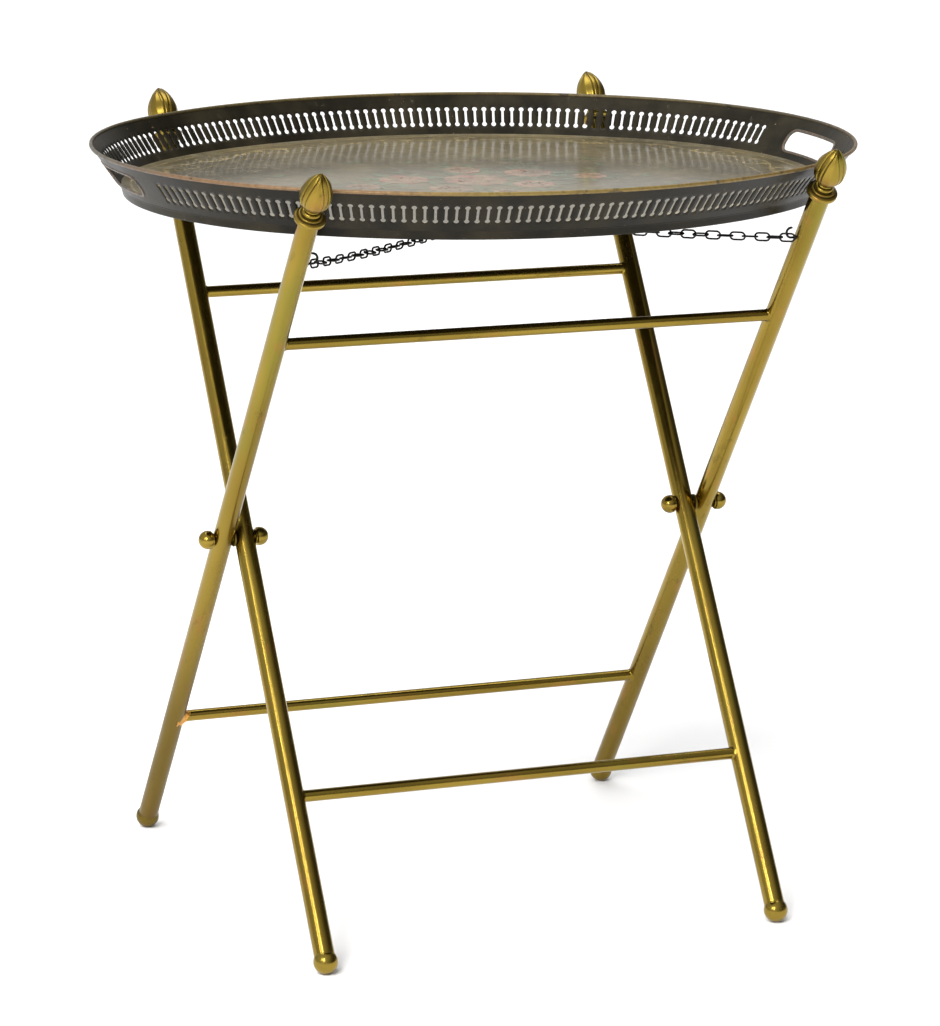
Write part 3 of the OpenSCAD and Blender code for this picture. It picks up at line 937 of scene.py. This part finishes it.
# ---------------------------------------------------------------- tray
PITCH = 2 * (END_RUN + SIDE_RUN - SLOT_START) / (SLOTS_PER_SIDE - 1)


def oval_arc(s):
    """(centre x, centre y, angle, radius at the rim) at distance s from the tray's right end."""
    s = s % ROUND
    if s >= ROUND - END_RUN:
        s -= ROUND
    if s <= END_RUN:
        return END_X, 0.0, s / (END_R - MID_INSET), END_R
    s -= END_RUN
    if s <= 2 * SIDE_RUN:
        return 0.0, -SIDE_Y, END_ANGLE + s / (SIDE_R - MID_INSET), SIDE_R
    s -= 2 * SIDE_RUN
    if s <= 2 * END_RUN:
        return -END_X, 0.0, math.pi - END_ANGLE + s / (END_R - MID_INSET), END_R
    s -= 2 * END_RUN
    return 0.0, SIDE_Y, math.pi + END_ANGLE + s / (SIDE_R - MID_INSET), SIDE_R


def oval_point(s, inset, z):
    cx, cy, a, r = oval_arc(s)
    return (cx + (r - inset) * math.cos(a), TRAY_Y + cy + (r - inset) * math.sin(a), z)


def wall_point(s, v, depth):
    """A point of the wall: v up its slope from the floor, depth in from its outer face."""
    inset = FLARE * (1 - v / WALL_RUN) + depth * math.cos(WALL_LEAN)
    z = FLOOR_Z + DEPTH * v / WALL_RUN + depth * math.sin(WALL_LEAN)
    wave = 0.00012 * math.sin(s * 31 + v * 60) + 0.0001 * math.sin(s * 77)
    return oval_point(s, inset + wave * smooth(0, 0.01, v), z)


NECK_V = SLOT_REACH - math.sqrt(SLOT_R**2 - SLOT_WAIST**2)
WAIST_V = 2.6 * MM
UPPER_ROWS = [NECK_V, 9.2 * MM, 11.2 * MM, 13.4 * MM]
BOX_V = UPPER_ROWS[-1]
ACROSS = 4


def slot_outline(grow):
    """The bone-shaped slot, point by point, in step with slot_border."""
    r = SLOT_R + grow
    w = SLOT_WAIST + grow
    start = -math.acos(min(1, w / r))
    pts = []
    for end in (1, -1):
        for i in range(13):
            a = start + (math.pi - 2 * start) * i / 12
            pts.append((end * r * math.cos(a), end * (SLOT_REACH + r * math.sin(a))))
        pts.append((-end * w, end * WAIST_V))
        pts.append((-end * w, -end * WAIST_V))
    return pts


def slot_border():
    """The border of a slot's cell, point by point."""
    half = PITCH / 2
    pts = []
    for end in (1, -1):
        side = [(half, v) for v in UPPER_ROWS]
        while len(side) < 5:
            k = max(range(len(side) - 1), key=lambda i: side[i + 1][1] - side[i][1])
            side.insert(k + 1, (half, (side[k][1] + side[k + 1][1]) / 2))
        top = [(half - PITCH * i / ACROSS, BOX_V) for i in range(1, ACROSS)]
        back = [(-x, v) for x, v in reversed(side)]
        ring = side + top + back
        pts += [(end * x, end * v) for x, v in ring]
        pts.append((-end * half, end * WAIST_V))
        pts.append((-end * half, -end * WAIST_V))
    return pts


def rounded_outline(half_l, half_h, corner, per_side, per_top):
    """A rounded rectangle in step with the border of the hand hole's cell, from the lower right up."""

    def corner_arc(cx, cy, a0, a1, n):
        return [
            (cx + corner * math.cos(a0 + (a1 - a0) * i / n), cy + corner * math.sin(a0 + (a1 - a0) * i / n))
            for i in range(n + 1)
        ]

    def resampled(path, n):
        seg = np.array(path)
        d = np.concatenate([[0], np.cumsum(np.linalg.norm(np.diff(seg, axis=0), axis=1))])
        at = np.linspace(0, d[-1], n + 1)
        return list(zip(np.interp(at, d, seg[:, 0]), np.interp(at, d, seg[:, 1])))

    x, y, q = half_l - corner, half_h - corner, math.pi / 4
    right = resampled(corner_arc(x, -y, -q, 0, 8) + corner_arc(x, y, 0, q, 8), per_side)
    top = resampled(corner_arc(x, y, q, 2 * q, 8) + corner_arc(-x, y, 2 * q, 3 * q, 8), per_top)
    half = right[:-1] + top[:-1]
    return half + [(-a, -b) for a, b in half]


def gallery():
    """The pierced wall: two faces of thin sheet, every slot and hand hole cut through with soft edges."""
    verts, grain, faces, index = [], [], [], {}

    def vertex(s, v, depth):
        key = (round(s % ROUND * 1e6), round(v * 1e6), round(depth * 1e6))
        if key not in index:
            index[key] = len(verts)
            verts.append(wall_point(s, v, depth))
            grain.append((s, v, depth))
        return index[key]

    def quad(a, b, c, d):
        corners = []
        for p in (a, b, c, d):
            i = vertex(*p)
            if i not in corners:
                corners.append(i)
        if len(corners) > 2:
            faces.append(tuple(corners))

    def strip(first, second):
        """Quads between two closed loops of (s, v, depth)."""
        n = len(first)
        for i in range(n):
            j = (i + 1) % n
            quad(first[i], first[j], second[j], second[i])

    soft = 0.22 * MM

    def pierced(s0, outlines, border, between):
        """One cell: outlines are (shape at the edge, shape grown by soft)."""
        plain, grown = outlines
        for depth, outer in ((0.0, True), (SHEET, False)):
            rings = [
                [(s0 + x, SLOT_MID + v, depth) for x, v in mixed(grown, border, k / between)]
                for k in range(between + 1)
            ]
            for a, b in zip(rings, rings[1:]):
                strip(*((b, a) if outer else (a, b)))
        loops = [(grown, 0.0), (plain, soft), (plain, SHEET - soft), (grown, SHEET)]
        loops = [[(s0 + x, SLOT_MID + v, d) for x, v in shape] for shape, d in loops]
        for a, b in zip(loops, loops[1:]):
            strip(a, b)

    def mixed(a, b, t):
        return [(p[0] + (q[0] - p[0]) * t, p[1] + (q[1] - p[1]) * t) for p, q in zip(a, b)]

    def plain_band(s_list, v_list):
        for a, b in zip(s_list, s_list[1:]):
            for u, w in zip(v_list, v_list[1:]):
                quad((a, u, 0), (b, u, 0), (b, w, 0), (a, w, 0))
                quad((a, w, SHEET), (b, w, SHEET), (b, u, SHEET), (a, u, SHEET))

    low_rows = [0.0, 0.25 * (SLOT_MID - BOX_V), SLOT_MID - BOX_V]
    high = WALL_RUN - 1.2 * MM
    high_rows = [SLOT_MID + BOX_V, (SLOT_MID + BOX_V + high) / 2, high]
    outline, grown, border = slot_outline(0.0), slot_outline(soft), slot_border()
    half_round = ROUND / 2
    cell_edge = SLOT_START - PITCH / 2
    top_steps = 20
    rows = [v for _, v in border[:5]]
    side_rows = [-v for v in reversed(rows)] + [-WAIST_V, WAIST_V] + rows
    hole_border = (
        [(cell_edge, v) for v in side_rows[:-1]]
        + [(cell_edge - 2 * cell_edge * i / top_steps, BOX_V) for i in range(top_steps)]
    )
    hole_border += [(-x, -v) for x, v in hole_border]
    per_side = len(side_rows) - 1
    hole = [
        rounded_outline(HOLE_HALF_L + g, HOLE_HALF_H + g, 0.8 * HOLE_HALF_H, per_side, top_steps)
        for g in (HOLE_RIM - 1.6 * MM, HOLE_RIM - 1.6 * MM + soft)
    ]
    for end in (0, 1):
        s_end = end * half_round
        pierced(s_end, hole, hole_border, 4)
        s_list = [s_end - cell_edge + 2 * cell_edge * i / top_steps for i in range(top_steps + 1)]
        plain_band(s_list, low_rows)
        plain_band(s_list, high_rows)
        for i in range(SLOTS_PER_SIDE):
            s0 = s_end + SLOT_START + i * PITCH
            pierced(s0, (outline, grown), border, 1)
            s_list = [s0 - PITCH / 2 + PITCH * k / ACROSS for k in range(ACROSS + 1)]
            plain_band(s_list, low_rows)
            plain_band(s_list, high_rows)
    piece("pierced_wall", (verts, faces), BLACK_TIN, "tray", "tray_gallery", grain=grain, sharp=50)


def around_oval(profile, steps, closed_profile=True):
    """Sweeps (inset, height) points round the oval. Grain is the distance round and along the profile."""
    verts, grain, faces = [], [], []
    n = len(profile)
    run = [0.0]
    for p, q in zip(profile, profile[1:]):
        run.append(run[-1] + math.hypot(q[0] - p[0], q[1] - p[1]))
    for k in range(steps):
        s = ROUND * k / steps
        for (inset, z), d in zip(profile, run):
            verts.append(oval_point(s, inset, z))
            grain.append((s, d, 0))
    for k in range(steps):
        a, b = k * n, ((k + 1) % steps) * n
        for i in range(n if closed_profile else n - 1):
            j = (i + 1) % n
            faces.append((a + i, b + i, b + j, a + j))
    return verts, faces, grain


def rim():
    """The rolled rim, with the hem of the roll showing as a small step on the outside."""
    profile = []
    sides = 20
    for i in range(sides):
        a = TAU * i / sides
        r = BEAD_R * (0.86 - 0.05 * (1 + math.cos(2 * a)) / 2)
        profile.append((SHEET / 2 - r * math.cos(a), RIM_Z + r * math.sin(a)))
    verts, faces, grain = around_oval(profile, 480)
    piece("rolled_rim", (verts, faces), GILT, "tray", "rim_bead", grain=grain, sharp=60)


def hole_rim(side):
    """The rolled edge of a hand hole: two ridges round the opening on each face."""
    s_end = 0.0 if side > 0 else ROUND / 2
    half_w = HOLE_RIM / 2
    proud = 0.8 * MM
    per_side, per_top = 16, 56
    section = []
    sides = 24
    for i in range(sides):
        a = TAU * i / sides
        across = half_w * math.cos(a)
        high = (SHEET / 2 + proud) * math.copysign(abs(math.sin(a)) ** 0.8, math.sin(a))
        high *= 1 - 0.30 * math.exp(-((across / (0.30 * half_w)) ** 2))
        section.append((across, high))
    verts, grain, faces = [], [], []
    for across, high in section:
        g = half_w + across
        shape = rounded_outline(HOLE_HALF_L + g, HOLE_HALF_H + g, 0.8 * HOLE_HALF_H + g, per_side, per_top)
        for x, v in shape:
            verts.append(wall_point(s_end + x, SLOT_MID + v, SHEET / 2 - high))
            grain.append((s_end + x, SLOT_MID + v, high))
    n = len(verts) // sides
    for k in range(sides):
        faces += ring_faces(n, n, k * n, ((k + 1) % sides) * n)
    node = f"hand_hole_rim_{SIDE_NAMES[side]}"
    piece("rolled_" + node, (verts, faces), COPPER_EDGE, "tray", node, None, side, grain, 50)


def tray_base():
    """The floor plate, its seam with the wall, and the turned-in band that the tray stands on."""
    z, b = FLOOR_Z, BASE_Z
    band = [
        (FLARE - 0.02 * MM, z + 0.9 * MM),
        (FLARE + 0.02 * MM, z - 0.4 * MM),
        (FLARE + 0.5 * MM, z - 0.9 * MM),
        (FLARE + 0.75 * MM, z - 1.6 * MM),
        (BAND_INSET - 0.55 * MM, b + 1.5 * MM),
        (BAND_INSET - 0.25 * MM, b + 0.5 * MM),
        (BAND_INSET + 0.3 * MM, b + 0.02 * MM),
        (BAND_INSET + 0.8 * MM, b + 0.3 * MM),
        (BAND_INSET + 0.9 * MM, b + 1.2 * MM),
        (FLARE + 1.4 * MM, z - 1.4 * MM),
        (FLARE + 3.0 * MM, z - 0.95 * MM),
    ]
    verts, faces, grain = around_oval(band, 480, False)
    piece("base_band", flipped((verts, faces)), BLACK_TIN, "tray", "tray_floor", None, 3.0, grain, 40)

    seam = [
        (FLARE + SHEET - 0.1 * MM, z + 1.1 * MM),
        (FLARE + SHEET + 0.5 * MM, z + 0.75 * MM),
        (FLARE + SHEET + 1.7 * MM, z + 0.72 * MM),
        (FLARE + SHEET + 2.2 * MM, z + 0.1 * MM),
    ]
    verts, faces, grain = around_oval(softened(seam, 0.3 * MM), 480, False)
    piece("floor_seam", (verts, faces), BLACK_TIN, "tray", None, None, 5.0, grain, 60)

    steps, rings = 480, 60
    for name, height, up, material in (
        ("floor_top", z + FLOOR_RISE, True, FLOOR_PAINT),
        ("floor_underside", z - 0.9 * MM, False, BLACK_TIN),
    ):
        verts, faces = [], []
        reach = FLARE + (0.95 * MM if up else 2.0 * MM)
        for k in range(rings + 1):
            t = 1 - k / rings
            for i in range(steps):
                x, y, _ = oval_point(ROUND * i / steps, reach, 0)
                p = Vector((x * t, TRAY_Y + (y - TRAY_Y) * t, 0))
                cove = 0.9 * MM * max(0, (t - 0.992) / 0.008) ** 2 if up else 0
                verts.append((p.x, p.y, height - floor_sag(p, t) + cove))
        for k in range(rings):
            faces += ring_faces(steps, steps, (k + 1) * steps, k * steps)
        part = (verts, faces)
        piece(name, flipped(part) if up else part, material, "tray", sharp=40)


def floor_sag(p, t):
    """How far the floor has sunk at point p, at share t of the way out to its edge."""
    return FLOOR_SAG * (1 - t * t) + FLOOR_WAVE * noise.noise(p * 9) * smooth(1, 0.93, t)


def floor_height(x, y):
    """The floor's top under a painted stroke."""
    y0 = y - TRAY_Y
    t = math.hypot(x, y0) / edge_radius(math.atan2(y0, x))
    return FLOOR_Z + FLOOR_RISE - floor_sag(Vector((x, y, 0)), t)


def edge_radius(a):
    """Distance from the tray's middle to the floor's edge in direction a."""
    inset = FLARE + 0.95 * MM
    c, s = abs(math.cos(a)), abs(math.sin(a))
    r = END_R - inset
    d = END_X * c + math.sqrt(max(r * r - (END_X * s) ** 2, 0))
    if math.atan2(d * s, max(d * c - END_X, 1e-9)) > END_ANGLE or d * c < END_X:
        r = SIDE_R - inset
        d = -SIDE_Y * s + math.sqrt(max(r * r - (SIDE_Y * c) ** 2, 0))
    return d


# ---------------------------------------------------------------- painted decoration
class Paint:
    """Flat painted shapes just above the floor, gathered by colour."""

    def __init__(self):
        self.verts, self.faces = [], []

    def shape(self, outline):
        base = len(self.verts)
        mid = np.mean(np.array(outline), axis=0)
        for x, y in [tuple(mid), *outline]:
            self.verts.append((x, y, floor_height(x, y) + 0.06 * MM))
        n = len(outline)
        area = sum(
            outline[i][0] * outline[(i + 1) % n][1] - outline[(i + 1) % n][0] * outline[i][1]
            for i in range(n)
        )
        for i in range(n):
            a, b = base + 1 + i, base + 1 + (i + 1) % n
            self.faces.append((base, a, b) if area > 0 else (base, b, a))

    def stroke(self, path, width):
        """A brush stroke: width(t) is its half width."""
        pts = np.array(path, float)
        tangent = np.gradient(pts, axis=0)
        tangent /= np.linalg.norm(tangent, axis=1)[:, None] + 1e-12
        normal = np.stack([-tangent[:, 1], tangent[:, 0]], axis=1)
        base, n = len(self.verts), len(pts)
        for i in range(n):
            w = width(i / (n - 1))
            for side in (1, -1):
                x, y = pts[i] + normal[i] * w * side
                self.verts.append((x, y, floor_height(x, y) + 0.05 * MM))
        for i in range(n - 1):
            a = base + 2 * i
            self.faces.append((a + 1, a + 3, a + 2, a))


def leaf_outline(x, y, angle, length, width, steps=9):
    pts = []
    for side in (1, -1):
        for i in range(steps):
            t = i / steps if side > 0 else 1 - i / steps
            w = side * width * math.sin(math.pi * t**0.8) ** 0.9
            pts.append((t * length, w))
    c, s = math.cos(angle), math.sin(angle)
    return [(x + c * u - s * v, y + s * u + c * v) for u, v in pts]


def petal_outline(x, y, angle, size):
    """A rounded petal, a little narrower along the given direction."""
    c, s = math.cos(angle), math.sin(angle)
    pts = []
    for b in np.linspace(0, TAU, 15)[:-1]:
        u, v = 0.8 * math.cos(b), math.sin(b)
        pts.append((x + size * (u * c - v * s) * 0.8, y + size * (u * s + v * c) * 0.8))
    return pts


def edge_frame(s, inset):
    """A point on the floor inset from its edge, with the direction inwards."""
    cx, cy, a, r = oval_arc(s)
    r -= FLARE + SHEET + inset
    point = np.array([cx + r * math.cos(a), TRAY_Y + cy + r * math.sin(a)])
    return point, np.array([-math.cos(a), -math.sin(a)])


def decoration():
    gold, rose, blush, leaf = Paint(), Paint(), Paint(), Paint()
    for inset, width in ((9 * MM, 0.9 * MM), (54 * MM, 0.6 * MM)):
        path = [edge_frame(ROUND * i / 720, inset)[0] for i in range(721)]
        gold.stroke(path, lambda t, w=width: w)
    units = 26
    step = ROUND / units
    for k in range(units):
        way = 1 if k % 2 else -1
        s_mid = (k + 0.5) * step

        def local(u, v, s_mid=s_mid):
            return edge_frame(s_mid + u, 14 * MM + v)[0]

        stem = []
        for i in range(25):
            u = i / 24 - 0.5
            stem.append(local(step * u, (17 + 9 * way * math.cos(math.pi * u)) * MM))
        gold.stroke(stem, lambda t: (0.7 + 0.9 * math.sin(math.pi * t)) * MM)
        for turn_way, u0 in ((1, -0.16), (-1, 0.18)):
            spiral = []
            for i in range(40):
                t = i / 39
                a = turn_way * (0.4 + 7.2 * t) + (math.pi if way > 0 else 0)
                rr = (11.5 * (1 - t) ** 0.8 + 1.6) * MM
                spiral.append(local(step * u0 + rr * math.cos(a), (17 - 5 * way) * MM + rr * math.sin(a)))
            gold.stroke(spiral, lambda t: (1.3 - 0.8 * t) * MM)
        for j in range(5):
            u = (j - 2) * 0.19 * step
            inset = (31 + 9 * way * math.cos(0.19 * math.pi * (j - 2))) * MM
            point, inward = edge_frame(s_mid + u, inset)
            a = math.atan2(inward[1], inward[0]) + (0.9 if j % 2 else -0.8) + (0 if way < 0 else math.pi)
            gold.shape(leaf_outline(point[0], point[1], a, 11 * MM, 2.4 * MM))
    rng = np.random.default_rng(7)
    middle = [(0, 0, 34), (62, 26, 25), (-64, 20, 26), (44, -36, 22), (-40, -40, 23)]
    places = middle + [(112, -6, 18), (-114, -8, 18), (8, 56, 20), (4, -70, 15)]
    for x, y, size in places:
        x, y, size = x * MM, TRAY_Y + y * MM, size * MM
        for j in range(7):
            a = TAU * j / 7 + rng.uniform(-0.2, 0.2)
            reach = size * rng.uniform(1.15, 1.7)
            foot_x, foot_y = x + size * 0.5 * math.cos(a), y + size * 0.5 * math.sin(a)
            leaf.shape(leaf_outline(foot_x, foot_y, a, reach, size * 0.2))
        for ring, (count, share, petal) in enumerate(((8, 0.62, 0.46), (6, 0.36, 0.36), (4, 0.15, 0.24))):
            for j in range(count):
                a = TAU * (j + 0.5 * ring) / count + rng.uniform(-0.12, 0.12)
                cx, cy = x + size * share * math.cos(a), y + size * share * math.sin(a)
                (blush if (j + ring) % 2 else rose).shape(petal_outline(cx, cy, a, size * petal))
    for k in range(10):
        a = TAU * k / 10 + 0.2
        path = []
        for i in range(20):
            t = i / 19
            r = (60 + 95 * t) * MM
            b = a + 0.5 * t * t
            path.append((1.25 * r * math.cos(b), TRAY_Y + 0.85 * r * math.sin(b)))
            if i % 5 == 4:
                leaf.shape(leaf_outline(*path[-1], b + 0.9, 15 * MM, 3.2 * MM))
                leaf.shape(leaf_outline(*path[-1], b - 0.8, 14 * MM, 3.0 * MM))
        leaf.stroke(path, lambda t: (0.9 - 0.5 * t) * MM)
    for name, paint, material in (
        ("painted_scrolls", gold, GOLD_PAINT),
        ("painted_leaves", leaf, LEAF_PAINT),
        ("painted_roses", rose, ROSE_PAINT),
        ("painted_blush", blush, BLUSH_PAINT),
    ):
        verts = np.array(paint.verts)
        lift = {"painted_leaves": 0.01, "painted_roses": 0.03, "painted_blush": 0.04}.get(name, 0.0)
        verts[:, 2] += lift * MM
        piece(name, (verts, paint.faces), material, "tray", sharp=60)


# ---------------------------------------------------------------- build
for frame_name in FRAMES:
    for which in ("upper", "lower"):
        rail(frame_name, which)
    for side in (LEFT, RIGHT):
        tube(frame_name, side)
        foot(frame_name, side)
        collar(frame_name, side)
        finial(frame_name, side)
        hook(frame_name, side)
for side in (LEFT, RIGHT):
    cap_nut(side, True)
    cap_nut(side, False)
    washer(side)
    chain(side)
    hole_rim(side)
gallery()
rim()
tray_base()
decoration()

for node in (
    "pivot_bolt_left",
    "pivot_bolt_right",
    "pivot_bushes",
    "top_plugs_outer",
    "top_plugs_inner",
    "finial_studs_outer",
    "finial_studs_inner",
):
    obj = frame["nodes"][node]
    obj.data.materials.clear()
    obj.data.materials.append(BLACK_IRON if "studs" in node else BRASS_CAST)


# ---------------------------------------------------------------- floor, light, camera
def stage():
    bpy.ops.mesh.primitive_plane_add(size=80, location=(0, 0, 0))
    floor = bpy.context.object
    floor.name = "studio_floor"
    f = Finish("studio_floor")
    f.set(Base_Color=colour(0.88, 0.88, 0.88), Roughness=0.9)
    floor.data.materials.append(f.material)

    world = bpy.data.worlds.new("studio")
    bpy.context.scene.world = world
    world.use_nodes = True
    tree = world.node_tree
    way = add(tree, "TexCoord").outputs["Generated"]

    def glow(direction, lo, hi, dark, bright):
        across = add(tree, "VectorMath", {0: way, 1: direction}, operation="DOT_PRODUCT")
        inputs = {"Value": across.outputs["Value"], "From Min": lo, "From Max": hi}
        inputs.update({"To Min": dark, "To Max": bright})
        return add(tree, "MapRange", inputs, interpolation_type="SMOOTHSTEP").outputs["Result"]

    upper_left = glow((-0.75, -0.25, 0.6), -0.35, 0.85, 0.085, 0.78)
    behind = glow((0.2, 0.97, 0.1), 0.55, 0.85, 0.0, 0.72)
    light = add(tree, "Math", {0: upper_left, 1: behind}, operation="MAXIMUM")
    tree.links.new(light.outputs[0], tree.nodes["Background"].inputs["Color"])

    def lamp(name, kind, place, aim, power, **settings):
        data = bpy.data.lights.new(name, kind)
        data.energy = power
        for key, value in settings.items():
            setattr(data, key, value)
        obj = bpy.data.objects.new(name, data)
        obj.location = place
        obj.rotation_euler = (Vector(aim) - Vector(place)).to_track_quat("-Z", "Y").to_euler()
        obj.visible_glossy = kind == "AREA"
        bpy.context.scene.collection.objects.link(obj)

    lamp("sun", "SUN", (-2.4, -2.2, 4.2), (0, 0, 0), 3.1, angle=math.radians(42))
    lamp("key", "AREA", (-2.3, -2.9, 2.3), (0, 0, 0.4), 58, shape="RECTANGLE", size=0.28, size_y=1.7)
    lamp("strip", "AREA", (-3.1, -1.9, 2.3), (0, 0, 0.4), 24, shape="RECTANGLE", size=0.2, size_y=1.7)
    lamp("top", "AREA", (0.2, 0.9, 3.2), (0, 0, 0.5), 40, shape="RECTANGLE", size=2.6, size_y=1.4)


def camera():
    fit = {"az": 21.851, "el": 13.526, "roll": 0.98, "distance": 4.284, "focal": 154.5}
    target = Vector((0.0539, 0.112, 0.3342))
    a, e, r = (math.radians(fit[k]) for k in ("az", "el", "roll"))
    forward = Vector((math.sin(a) * math.cos(e), math.cos(a) * math.cos(e), -math.sin(e)))
    right = Vector((math.cos(a), -math.sin(a), 0))
    up = right.cross(forward)
    x = right * math.cos(r) + up * math.sin(r)
    y = up * math.cos(r) - right * math.sin(r)
    data = bpy.data.cameras.new("camera")
    data.sensor_width = 36
    data.lens = fit["focal"]
    data.shift_x = -0.0071
    data.shift_y = -0.0087
    data.clip_end = 200
    obj = bpy.data.objects.new("camera", data)
    m = Matrix((x, y, -forward)).transposed().to_4x4()
    m.translation = target - forward * fit["distance"]
    obj.matrix_world = m
    bpy.context.scene.collection.objects.link(obj)
    bpy.context.scene.camera = obj


stage()
camera()
bpy.context.scene.view_settings.view_transform = "Standard"
